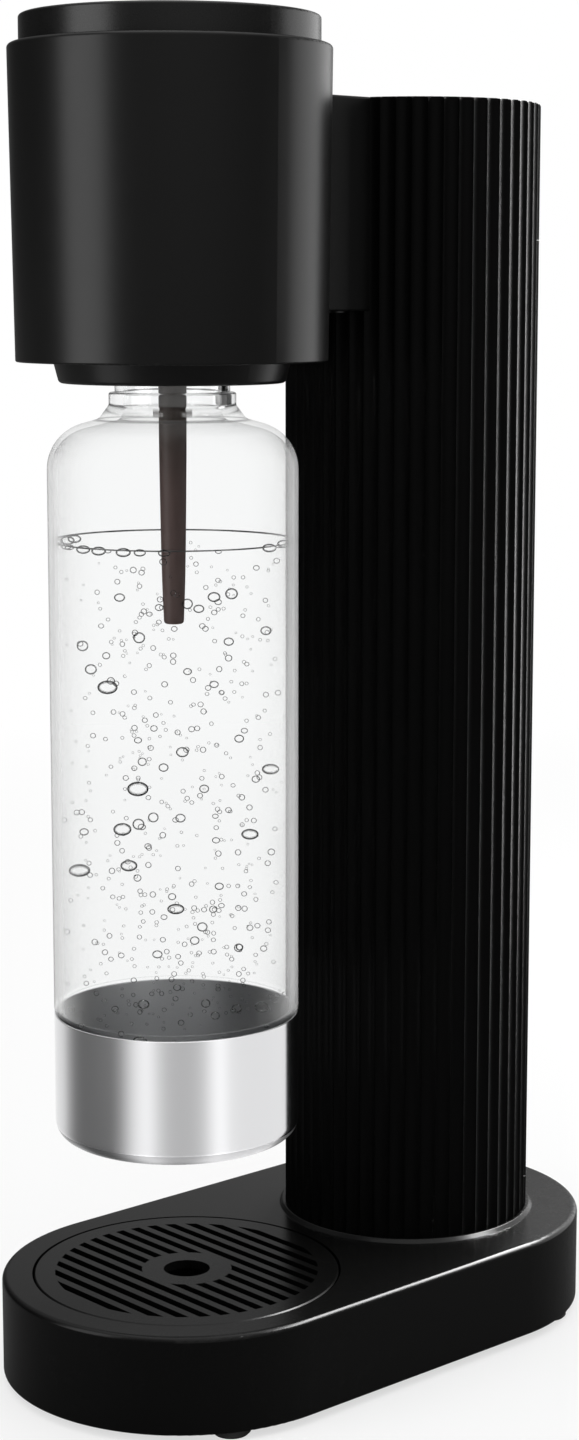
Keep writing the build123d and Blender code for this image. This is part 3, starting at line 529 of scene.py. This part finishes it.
class CarbonatorLook(bpy.types.PropertyGroup):
    """Colours and sizes of the visible finishes."""

    plastic_colour: bpy.props.FloatVectorProperty(
        name="Plastic", description="Colour of the satin black plastic", subtype="COLOR",
        size=3, default=(0.0030, 0.0030, 0.0029), min=0, max=1)
    plastic_roughness: bpy.props.FloatProperty(
        name="Plastic roughness", description="Roughness of the satin black plastic",
        default=0.31, min=0.05, max=1, subtype="FACTOR")
    cup_colour: bpy.props.FloatVectorProperty(
        name="Cup", description="Colour of the bottle's metal cup", subtype="COLOR",
        size=3, default=(0.66, 0.66, 0.67), min=0, max=1)
    nozzle_colour: bpy.props.FloatVectorProperty(
        name="Nozzle", description="Colour of the smoked nozzle", subtype="COLOR",
        size=3, default=(0.070, 0.046, 0.042), min=0, max=1)
    bottle_wall: bpy.props.FloatProperty(
        name="Bottle wall", description="Thickness of the bottle's wall", unit="LENGTH",
        default=0.0012, min=0.0005, max=0.004)
    neck_wall: bpy.props.FloatProperty(
        name="Neck wall", description="Thickness of the bottle's neck", unit="LENGTH",
        default=0.0026, min=0.001, max=0.005)
    heel_step: bpy.props.FloatProperty(
        name="Heel step", description="How far the heel stands back for the cup", unit="LENGTH",
        default=0.0012, min=0.0005, max=0.004)
    water_level: bpy.props.FloatProperty(
        name="Water level", description="Height of the water above the base's top", unit="LENGTH",
        default=0.2525, min=0.05, max=0.27)
    bubble_count: bpy.props.IntProperty(
        name="Bubbles", description="How many small bubbles rise in the water",
        default=620, min=10, max=2000)
    bubble_size: bpy.props.FloatProperty(
        name="Largest bubble", description="Width of the largest bubble", unit="LENGTH",
        default=0.0075, min=0.001, max=0.02)
    spring_wire: bpy.props.FloatProperty(
        name="Spring wire", description="Thickness of the return spring's wire", unit="LENGTH",
        default=0.0018, min=0.0005, max=0.003)
    spring_turns: bpy.props.IntProperty(
        name="Spring turns", description="Turns of the return spring", default=5, min=2, max=12)
    turning_segments: bpy.props.IntProperty(
        name="Turning segments", description="Faces round a turned piece",
        default=160, min=24, max=512)


class CarbonatorStudio(bpy.types.PropertyGroup):
    """Camera, lamps and room."""

    camera_place: bpy.props.FloatVectorProperty(
        name="Camera", description="Where the camera stands", subtype="TRANSLATION", unit="LENGTH",
        size=3, default=(0.6872, -0.6255, 0.3695))
    camera_azimuth: bpy.props.FloatProperty(
        name="Azimuth", description="Turn of the view about the upright axis", subtype="ANGLE",
        default=math.radians(47.923))
    camera_pitch: bpy.props.FloatProperty(
        name="Pitch", description="How far the view looks down", subtype="ANGLE",
        default=math.radians(8.961))
    camera_lens: bpy.props.FloatProperty(
        name="Lens", description="Focal length in millimetres", default=67.474, min=10, max=200)
    room_level: bpy.props.FloatProperty(
        name="Room light", description="Strength of the even part of the room's light",
        default=0.04, min=0, max=2)
    rim_power: bpy.props.FloatProperty(
        name="Rim lamp", description="Watts of the lamp behind and above",
        default=120.0, min=0, max=300)


# ---- Studio light, as bearings from the bottle: 0 towards the camera, positive to its right ----

CAMERA_BEARING = math.radians(-39.6)
AIM_HEIGHT = 0.22
BAND_RADIUS = 0.22
BAND_HEIGHT = 0.45
BAND_GLOW = 1.6
FOOT_GLOW_RADIUS = 0.085
FLOOR_RADIUS = 12.0
FLOOR_INSET = 11.0
FLOOR_TONE = (0.86, 0.86, 0.86)
FLOOR_TONE_IN_GLOSS = (0.16, 0.16, 0.16)
RIM_PLACE, RIM_TARGET, RIM_SIZE = (0.28, 0.95, 1.15), (0.05, 0, 0.03), (2.2, 0.4)
# turn, rise, spread, strength of each soft glow in the room
ROOM_GLOWS = (
    (0, 90, 4.0, 2.2),
    (15, 14, 2.2, 0.46),
    (172, 8, 12.0, 0.38),
)
FLUTED = ("column_shell", "column_cap", "rear_cover")
LOW_BLACKS = ("base_shell", "drip_tray", "drip_grille")
# name, turn, rise, distance, width, height, watts, the only nodes it lights (none: all), and the
# nodes it leaves out
LAMPS = (
    ("left box", -62, 6, 0.8, 0.48, 0.90, 4.0, (), ("bottle_cup", *FLUTED)),
    ("right box", 122, 5, 1.0, 1.10, 1.20, 7.4, (), ("bottle_cup",)),
    ("flute box", 124, 8, 0.8, 0.50, 0.80, 34.0, FLUTED, ()),
    ("far flute box", 150, 14, 1.0, 0.50, 0.80, 36.0, FLUTED, ()),
)
# turn and glow of each stop round the cup
CUP_GLOWS = (
    (-180, 0.50), (-150, 0.52), (-134, 0.48), (-124, 0.26), (-112, 0.05), (-98, 0.0), (-66, 0.0),
    (-54, 0.12), (-42, 0.54), (-28, 0.84), (-16, 0.44), (-4, 0.32), (12, 0.32), (24, 0.42),
    (34, 0.74), (42, 0.86), (52, 0.62), (70, 0.60), (110, 0.60), (150, 0.62), (180, 0.50),
)


def heading(turn, rise):
    """The direction at a turn from the camera's bearing and a rise above level, in degrees."""
    azimuth, height = CAMERA_BEARING + math.radians(turn), math.radians(rise)
    return Vector((math.cos(azimuth) * math.cos(height), math.sin(azimuth) * math.cos(height),
                   math.sin(height)))


def band_place(turn):
    """Where on the band's ramp the cup's reflection at a turn lands."""
    shift = math.degrees(math.asin(CUP_RADIUS * math.sin(math.radians(turn / 2)) / BAND_RADIUS))
    return (turn - shift) / 360 + 0.5


# ---- Operators -------------------------------------------------------------------------------


class CARBONATOR_OT_finishes(bpy.types.Operator):
    """Make the finishes and give every frame node its own"""

    bl_idname = "carbonator.finishes"
    bl_label = "Finish the frame"

    def execute(self, context):
        make_finishes(context.scene.carbonator_look)
        for part in frame["record"]["subparts"]:
            node = frame["nodes"][part["node"]]
            finish = DEEPER_BLACKS.get(part["node"], part["material_slot"])
            node.data.materials.clear()
            node.data.materials.append(FINISHES[finish])
        return {"FINISHED"}


class CARBONATOR_OT_bottle(bpy.types.Operator):
    """Turn the clear bottle in one piece from its heel to its mouth"""

    bl_idname = "carbonator.bottle"
    bl_label = "Add the bottle"

    def execute(self, context):
        look = context.scene.carbonator_look
        wall, neck_wall = look.bottle_wall, look.neck_wall
        radius = BOTTLE_RADIUS
        heel = radius - look.heel_step
        step = CUP_HIGH.z + 0.3 * MM
        floor, root, mouth = BOTTLE_LOW.z, NECK_LOW.z, NECK_HIGH.z
        bead = (NECK_HIGH.x - NECK_LOW.x) / 2 - 3.4 * MM
        neck = bead - 2.0 * MM
        shoulder = root - 4.8 * MM
        bead_top = mouth - 18.5 * MM
        outside = [
            (0, floor, 0), (heel, floor, 7 * MM), (heel, step, 0), (radius, step, 0.3 * MM),
            (radius, shoulder, 15.5 * MM), (bead + 3.4 * MM, root, 3 * MM),
            (bead, bead_top - 4.2 * MM, 1.5 * MM), (bead, bead_top, 0.7 * MM),
            (neck, bead_top, 0.35 * MM), (neck, mouth, 0.6 * MM)]
        inside = [
            (neck - neck_wall, mouth, 0.6 * MM), (neck - neck_wall, root, 3 * MM),
            (radius - wall, shoulder - wall, 15.5 * MM - wall), (radius - wall, step + wall, 0),
            (heel - wall, step + wall, 0), (heel - wall, floor + wall, 7 * MM - wall),
            (0, floor + wall, 0)]
        rings = rounded(outside + inside, 12)
        bottle = lathe("clear_bottle", rings, BOTTLE_AXIS, look.turning_segments)
        finish_piece(bottle, "bottle", "clear_bottle", "bottle_body", "bottle_neck")
        return {"FINISHED"}


class CARBONATOR_OT_nozzle(bpy.types.Operator):
    """Turn the smoked nozzle, which narrows faster near its tip"""

    bl_idname = "carbonator.nozzle"
    bl_label = "Add the nozzle"

    def execute(self, context):
        look = context.scene.carbonator_look
        tip, top = NOZZLE_LOW.z, NOZZLE_HIGH.z
        flange = (NOZZLE_HIGH.x - NOZZLE_LOW.x) / 2
        root = flange - 2.85 * MM
        bore, orifice = 1.8 * MM, 0.6 * MM
        # radius and height above the tip, in millimetres
        taper = ((3.30, 0), (3.48, 5), (3.62, 8), (3.83, 14), (4.10, 26), (4.34, 42), (4.52, 57))
        rings = [(orifice, tip + 3 * MM, 0), (orifice, tip, 0)]
        rings += [(radius * MM, tip + height * MM, 1.1 * MM if height == 0 else 0)
                  for radius, height in taper]
        rings += [
            (root, COLLAR_LOW.z, 0), (root, top - 2 * MM, 0), (flange, top - 2 * MM, 0.2 * MM),
            (flange, top, 0.2 * MM), (bore, top, 0), (bore, tip + 3 * MM, 0)]
        nozzle = lathe("smoked_nozzle", rounded(rings, 6), BOTTLE_AXIS, look.turning_segments // 2,
                       ring=True)
        finish_piece(nozzle, "machine", "nozzle_brown", "nozzle")
        return {"FINISHED"}


class CARBONATOR_OT_spring(bpy.types.Operator):
    """Coil the return spring"""

    bl_idname = "carbonator.spring"
    bl_label = "Add the return spring"

    def execute(self, context):
        look = context.scene.carbonator_look
        wire, wire_sides, turn_steps = look.spring_wire / 2, 12, 36
        axis = (SPRING_LOW + SPRING_HIGH) / 2
        low, high = SPRING_LOW.z + wire, SPRING_HIGH.z - wire
        deselect_all()
        bpy.ops.mesh.primitive_circle_add(
            vertices=wire_sides, radius=wire, location=(axis.x, axis.y, low))
        spring = start_piece("return_spring")
        bpy.ops.mesh.select_all(action="SELECT")
        bpy.ops.transform.rotate(
            value=math.pi / 2, orient_axis="X", center_override=(axis.x, axis.y, low))
        bpy.ops.transform.translate(value=((SPRING_HIGH.x - SPRING_LOW.x) / 2 - wire, 0, 0))
        bpy.ops.object.mode_set(mode="OBJECT")
        coil = spring.modifiers.new("coil", "SCREW")
        coil.axis = "Z"
        coil.angle = math.tau
        coil.iterations = look.spring_turns
        coil.screw_offset = (high - low) / look.spring_turns
        coil.steps = coil.render_steps = turn_steps
        bpy.ops.object.modifier_apply(modifier=coil.name)
        bpy.ops.object.mode_set(mode="EDIT")
        bpy.ops.mesh.select_all(action="SELECT")
        bpy.ops.mesh.fill_holes(sides=wire_sides)
        close_piece(spring)
        finish_piece(spring, "machine", "steel", "button_spring")
        1 - BUTTON_TRAVEL / (SPRING_HIGH.z - SPRING_LOW.z)
        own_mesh(spring)
        return {"FINISHED"}


class CARBONATOR_OT_water(bpy.types.Operator):
    """Fill the bottle with still water up to its level"""

    bl_idname = "carbonator.water"
    bl_label = "Add the water"

    def execute(self, context):
        look = context.scene.carbonator_look
        level = BASE_TOP + look.water_level
        radius = BOTTLE_RADIUS - look.bottle_wall - 0.1 * MM
        heel = radius - look.heel_step
        floor = BOTTLE_LOW.z + look.bottle_wall + 0.1 * MM
        step = CUP_HIGH.z + 1.7 * MM
        climb = 0.6 * MM
        corners = [(0, floor, 0), (heel, floor, 5.5 * MM), (heel, step, 0), (radius, step, 0),
                   (radius, level + climb, 0), (radius - climb, level, 1.4 * MM), (0, level, 0)]
        water = lathe("water", rounded(corners, 6), BOTTLE_AXIS, look.turning_segments)
        finish_piece(water, "bottle", "water")
        return {"FINISHED"}


class CARBONATOR_OT_bubbles(bpy.types.Operator):
    """Scatter bubbles through the water and along its surface"""

    bl_idname = "carbonator.bubbles"
    bl_label = "Add the bubbles"

    def execute(self, context):
        look = context.scene.carbonator_look
        self.dice = random.Random(7)
        self.reach = BOTTLE_RADIUS - 2.2 * MM
        self.level = BASE_TOP + look.water_level
        largest, count = look.bubble_size, look.bubble_count
        copies = self.scatter(
            context, self.bead(8, 6), count, 0.8 * MM, 0.30 * largest, 1.8, (0.85, 1.0))
        copies += self.scatter(
            context, self.bead(20, 12), count // 9, 0.28 * largest, 0.58 * largest, 2.0, (0.75, 0.95))
        copies += self.scatter(
            context, self.bead(24, 14), count // 60, 0.65 * largest, largest, 1.0, (0.55, 0.70))
        copies += self.raft(context, self.bead(16, 10))
        deselect_all()
        for copy in copies:
            copy.select_set(True)
        context.view_layer.objects.active = copies[0]
        bpy.ops.object.join()
        bubbles = context.object
        bubbles.name = bubbles.data.name = "bubbles"
        bpy.ops.object.transform_apply(location=True, rotation=True, scale=True)
        bpy.ops.object.shade_smooth()
        finish_piece(bubbles, "bottle", "bubbles")
        return {"FINISHED"}

    def bead(self, segments, rings):
        """One small ball, a touch fuller above its middle, as a pattern for copies."""
        deselect_all()
        bpy.ops.mesh.primitive_uv_sphere_add(segments=segments, ring_count=rings, radius=0.5)
        ball = start_piece("bead")
        bpy.ops.mesh.select_all(action="SELECT")
        bpy.ops.transform.translate(
            value=(0, 0, 0.04), use_proportional_edit=True, proportional_size=0.6,
            proportional_edit_falloff="SMOOTH")
        bpy.ops.object.mode_set(mode="OBJECT")
        return ball

    def place(self, context, ball, size, flat, out, angle, height):
        """One copy of a ball at a place in the water."""
        copy = ball.copy()
        copy.data = ball.data.copy()
        copy.location = (
            BOTTLE_AXIS.x + out * math.cos(angle), BOTTLE_AXIS.y + out * math.sin(angle), height)
        copy.scale = (size, size, size * flat)
        context.collection.objects.link(copy)
        return copy

    def scatter(self, context, ball, count, smallest, largest, bias, flats):
        """Copies all through the water, clear of the nozzle, most of them small."""
        dice, copies = self.dice, []
        floor = CUP_HIGH.z - 6 * MM
        while len(copies) < count:
            size = smallest + (largest - smallest) * dice.random() ** bias
            out = (self.reach - size / 2) * math.sqrt(dice.uniform(0.03, 1.0))
            height = floor + (self.level - 1.5 * size - floor) * dice.random() ** 1.15
            if out < 5 * MM + size / 2 and height > NOZZLE_LOW.z - size:
                continue
            copies.append(self.place(context, ball, size, dice.uniform(*flats), out,
                                     dice.uniform(0, 2 * math.pi), height))
        bpy.data.objects.remove(ball)
        return copies

    def raft(self, context, ball):
        """A loose row of bubbles that float against the wall."""
        dice, copies = self.dice, []
        for turn in range(-115, 116, 9):
            if dice.random() < (0.25 if turn < 0 else 0.7):
                continue
            size = dice.uniform(2.0, 5.0) * MM
            angle = CAMERA_BEARING + math.radians(turn + dice.uniform(-3, 3))
            copies.append(self.place(context, ball, size, 0.6, self.reach - size / 2, angle,
                                     self.level - 0.15 * size))
        bpy.data.objects.remove(ball)
        return copies


class CARBONATOR_OT_studio(bpy.types.Operator):
    """Add the floor, room, lamps, cup reflector and camera"""

    bl_idname = "carbonator.studio"
    bl_label = "Build the studio"

    def execute(self, context):
        studio = context.scene.carbonator_studio
        self.add_floor()
        self.add_room(context, studio.room_level)
        middle = Vector((BOTTLE_AXIS.x, BOTTLE_AXIS.y, AIM_HEIGHT))
        for name, turn, rise, reach, width, height, watts, lit, unlit in LAMPS:
            lamp = self.add_lamp(context, name, middle + heading(turn, rise) * reach, middle,
                                 (width, height), watts)
            self.link_light(lamp, lit, unlit)
        rim = self.add_lamp(context, "rim box", RIM_PLACE, RIM_TARGET, RIM_SIZE, studio.rim_power)
        self.link_light(rim, LOW_BLACKS)
        self.add_cup_reflector()
        self.add_camera(context, studio)
        context.scene.view_settings.view_transform = "Standard"
        context.scene.cycles.transparent_max_bounces = 48
        return {"FINISHED"}

    def add_floor(self):
        """A wide pale floor that keeps the object's soft shadow."""
        deselect_all()
        bpy.ops.mesh.primitive_circle_add(
            vertices=96, radius=FLOOR_RADIUS, fill_type="NGON", location=(0, 0, 0))
        floor = start_piece("floor")
        bpy.ops.mesh.select_all(action="SELECT")
        bpy.ops.mesh.inset(thickness=FLOOR_INSET)
        close_piece(floor)
        finish = Finish("pale floor")
        x, y, _ = finish.axis_parts()
        near = (1.4 - (x * x + y * y) ** 0.5).clamped()
        seen = finish.node("ShaderNodeLightPath").outputs
        direct = (Value(finish.tree, seen["Is Camera Ray"])
                  + Value(finish.tree, seen["Is Transmission Ray"])).clamped()
        grain = finish.noise(900.0)
        colour = finish.blend(seen["Is Glossy Ray"], FLOOR_TONE, FLOOR_TONE_IN_GLOSS)
        matt = finish.principled(
            Base_Color=colour, Roughness=0.75 + grain * 0.1, Specular_IOR_Level=0.0)
        glow = finish.node("ShaderNodeEmission", None, {"Color": (1, 1, 1, 1), "Strength": 1.0})
        share = direct * (1.0 - near * 0.35)
        finish.surface(finish.node("ShaderNodeMixShader", None, {
            0: share, 1: matt.outputs[0], 2: glow.outputs[0]}))
        floor.data.materials.append(finish.material)

    def add_room(self, context, level):
        """White to the eye; as light, an even grey with broad soft glows above, in front and behind."""
        finish = Finish("studio room", world=True)
        context.scene.world = finish.material
        seen = finish.node("ShaderNodeLightPath").outputs
        direct = (Value(finish.tree, seen["Is Camera Ray"])
                  + Value(finish.tree, seen["Is Transmission Ray"])).clamped()
        ray = finish.node("ShaderNodeTexCoord").outputs["Generated"]
        light = level
        for turn, rise, spread, strength in ROOM_GLOWS:
            glow = finish.along(ray, heading(turn, rise))
            light = light + glow ** spread * strength
        light = light * (1.0 - direct) + direct
        finish.surface(finish.node("ShaderNodeBackground", None, {
            "Color": (1, 1, 1, 1), "Strength": light}))

    def add_cup_reflector(self):
        """A see-through bowl round the bottle whose soft glow shows only in the metal cup."""
        foot = BASE_TOP + 0.4 * MM
        rings = [(20 * MM, foot), (BAND_RADIUS, foot), (BAND_RADIUS, BAND_HEIGHT)]
        band = lathe("cup_reflector", rings, BOTTLE_AXIS, 128)
        finish = Finish("cup reflector glow")
        x, y, _ = finish.axis_parts((BOTTLE_AXIS.x, BOTTLE_AXIS.y, 0))
        toward, aside = heading(0, 0), heading(90, 0)
        ahead = x * toward.x + y * toward.y
        across = x * aside.x + y * aside.y
        place = ahead.bearing(across) / (2 * math.pi) + 0.5
        stops = [(band_place(turn), (glow, glow, glow)) for turn, glow in CUP_GLOWS]
        ramp = finish.node("ShaderNodeValToRGB", {"stops": stops}, {"Fac": place})
        ramp.color_ramp.interpolation = "B_SPLINE"
        strength = BAND_GLOW + (x * x + y * y).below(FOOT_GLOW_RADIUS ** 2) * BAND_GLOW
        glow = finish.node("ShaderNodeEmission", None, {
            "Color": ramp.outputs["Color"], "Strength": strength})
        clear = finish.node("ShaderNodeBsdfTransparent", None, {"Color": (1, 1, 1, 1)})
        finish.surface(finish.node("ShaderNodeAddShader", None, {
            0: glow.outputs[0], 1: clear.outputs[0]}))
        band.data.materials.append(finish.material)
        band.visible_camera = band.visible_diffuse = band.visible_transmission = False
        band.visible_shadow = band.visible_volume_scatter = False
        self.link_light(band, ("bottle_cup",))

    def add_lamp(self, context, name, place, target, size, power):
        """One rectangular area lamp that faces a target."""
        lamp = bpy.data.lights.new(name, "AREA")
        lamp.shape = "RECTANGLE"
        lamp.size, lamp.size_y = size
        lamp.energy = power
        holder = bpy.data.objects.new(name, lamp)
        holder.location = place
        holder.rotation_euler = (Vector(target) - Vector(place)).to_track_quat("-Z", "Y").to_euler()
        holder.visible_camera = False
        context.collection.objects.link(holder)
        return holder

    def link_light(self, light, lit, unlit=()):
        """Lets a light reach only the lit nodes, or all but the unlit ones."""
        group = bpy.data.collections.new(light.name + " reach")
        for node in (*lit, *unlit):
            group.objects.link(frame["nodes"][node])
        if unlit:
            for item in group.collection_objects:
                item.light_linking.link_state = "EXCLUDE"
        light.light_linking.receiver_collection = group

    def add_camera(self, context, studio):
        """The camera, level with the lower half of the head."""
        camera = bpy.data.cameras.new("camera")
        camera.lens = studio.camera_lens
        camera.sensor_width = 36.0
        camera.sensor_fit = "AUTO"
        camera.clip_start = 0.01
        holder = bpy.data.objects.new("camera", camera)
        holder.location = studio.camera_place
        azimuth, pitch = studio.camera_azimuth, studio.camera_pitch
        sight = Vector((-math.sin(azimuth) * math.cos(pitch), math.cos(azimuth) * math.cos(pitch),
                        -math.sin(pitch)))
        holder.rotation_euler = sight.to_track_quat("-Z", "Y").to_euler()
        context.collection.objects.link(holder)
        context.scene.camera = holder


class CARBONATOR_PT_panel(bpy.types.Panel):
    """Sidebar panel with the carbonator's settings and steps"""

    bl_idname = "CARBONATOR_PT_panel"
    bl_label = "Soda carbonator"
    bl_space_type = "VIEW_3D"
    bl_region_type = "UI"
    bl_category = "Carbonator"

    def draw(self, context):
        for group in (context.scene.carbonator_look, context.scene.carbonator_studio):
            box = self.layout.box()
            for name in group.__annotations__:
                box.prop(group, name)
        for step in STEPS:
            self.layout.operator(step.bl_idname)


STEPS = (CARBONATOR_OT_finishes, CARBONATOR_OT_bottle, CARBONATOR_OT_nozzle, CARBONATOR_OT_spring,
         CARBONATOR_OT_water, CARBONATOR_OT_bubbles, CARBONATOR_OT_studio)
CLASSES = (CarbonatorLook, CarbonatorStudio, *STEPS, CARBONATOR_PT_panel)


def register():
    """Registers the classes and their settings."""
    for cls in CLASSES:
        bpy.utils.register_class(cls)
    bpy.types.Scene.carbonator_look = bpy.props.PointerProperty(type=CarbonatorLook)
    bpy.types.Scene.carbonator_studio = bpy.props.PointerProperty(type=CarbonatorStudio)


def unregister():
    """Removes the classes and their settings."""
    del bpy.types.Scene.carbonator_studio
    del bpy.types.Scene.carbonator_look
    for cls in reversed(CLASSES):
        bpy.utils.unregister_class(cls)


def main():
    """Runs every step in order."""
    register()
    bpy.ops.carbonator.finishes()
    bpy.ops.carbonator.bottle()
    bpy.ops.carbonator.nozzle()
    bpy.ops.carbonator.spring()
    bpy.ops.carbonator.water()
    bpy.ops.carbonator.bubbles()
    bpy.ops.carbonator.studio()


if __name__ == "__main__":
    main()
